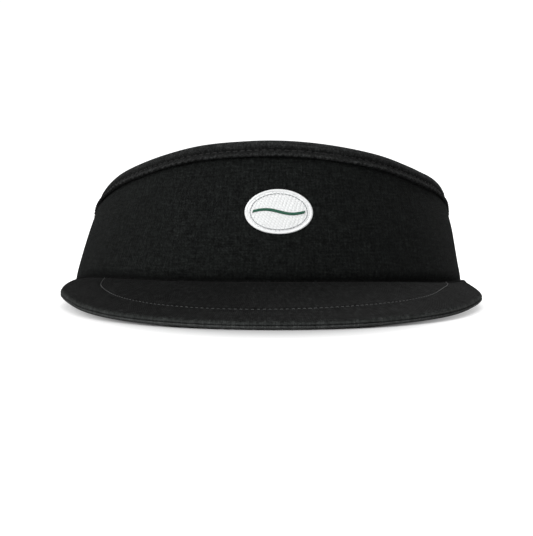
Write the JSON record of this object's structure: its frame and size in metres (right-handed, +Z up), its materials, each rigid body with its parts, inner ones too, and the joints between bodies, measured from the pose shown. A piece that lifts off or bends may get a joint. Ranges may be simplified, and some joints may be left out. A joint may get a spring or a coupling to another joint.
{
  "type": "sun visor",
  "caption": "Open-topped sun visor with a tall stiffened front panel, bound top edge, curved stitched brim, and rear tails closed by an adjustable strap and flip clasp.",
  "frame": {"origin": "On the resting plane, at the middle of the half circle that the rear of the head opening follows; the size adjustment turns about the Z axis.", "axes": "+Z up, -Y to the front of the visor, where the brim is, +X to the wearer's left."},
  "size_m": [0.182, 0.258, 0.0722],
  "materials": {
    "crown_twill": "matte black cotton twill",
    "stiffener": "matte, open mesh",
    "lining_cotton": "matte woven cotton",
    "tape_twill": "matte woven cotton",
    "sweatband_terry": "brushed cotton",
    "foam": "open-cell foam",
    "label_satin": "satin, blank",
    "binding_twill": "matte black cotton twill",
    "binding_thread": "spun polyester thread",
    "brim_twill_top": "matte black cotton twill",
    "board_plastic": "satin",
    "brim_twill_under": "matte black cotton twill",
    "brim_stitch_top_thread": "spun polyester thread",
    "brim_stitch_under_thread": "spun polyester thread",
    "embroidery_white": "satin embroidery",
    "embroidery_grey": "satin embroidery",
    "embroidery_green": "satin embroidery",
    "left_tail_twill": "matte black cotton twill",
    "left_tail_lining": "matte woven cotton",
    "right_tail_twill": "matte black cotton twill",
    "right_tail_lining": "matte woven cotton",
    "gusset_jersey": "stretch jersey",
    "right_tail_binding": "matte black cotton twill",
    "right_tail_thread": "spun polyester thread",
    "strap_twill": "matte black cotton twill",
    "strap_thread": "spun polyester thread",
    "keeper_tape": "matte woven cotton",
    "clasp_metal": "satin dark nickel",
    "pin_metal": "satin dark nickel",
    "lever_metal": "satin dark nickel",
    "anchor_twill": "matte black cotton twill",
    "anchor_thread": "spun polyester thread"
  },
  "bodies": {
    "visor": {"crown_outer_panel": "crown_twill", "crown_buckram": "stiffener", "crown_lining": "lining_cotton", "seam_tape": "tape_twill", "sweatband_cover": "sweatband_terry", "sweatband_foam": "foam", "care_label_blank": "label_satin", "top_binding": "binding_twill", "binding_stitch": "binding_thread", "brim_top_cover": "brim_twill_top", "brim_board": "board_plastic", "brim_under_cover": "brim_twill_under", "brim_stitch_top": "brim_stitch_top_thread", "brim_stitch_under": "brim_stitch_under_thread", "emblem_oval": "embroidery_white", "emblem_border": "embroidery_grey", "emblem_stripe": "embroidery_green", "rear_band_left_outer": "left_tail_twill", "rear_band_left_lining": "left_tail_lining", "side_gusset_right": "gusset_jersey", "strap_keeper_loop": "keeper_tape", "clasp_frame": "clasp_metal", "clasp_hinge_pin": "pin_metal", "clasp_anchor_loop": "anchor_twill", "anchor_box_stitch": "anchor_thread"},
    "rear_right": {"rear_band_right_outer": "right_tail_twill", "rear_band_right_lining": "right_tail_lining", "top_binding_right_tail": "right_tail_binding", "binding_stitch_right_tail": "right_tail_thread", "closure_strap": "strap_twill", "strap_box_stitch": "strap_thread"},
    "lever": {"clasp_lever": "lever_metal"}
  },
  "joints": [
    {"name": "size_adjust", "type": "hinge", "parent": "visor", "child": "rear_right", "pos_m": [0, 0, 0], "axis": [0, 0, 1], "range_deg": [-9, 9]},
    {"name": "clasp_flip", "type": "hinge", "parent": "visor", "child": "lever", "pos_m": [0.03137, 0.07964, 0.0091], "axis": [0.0319, 0.0811, -0.9962], "range_deg": [0, 100]}
  ]
}
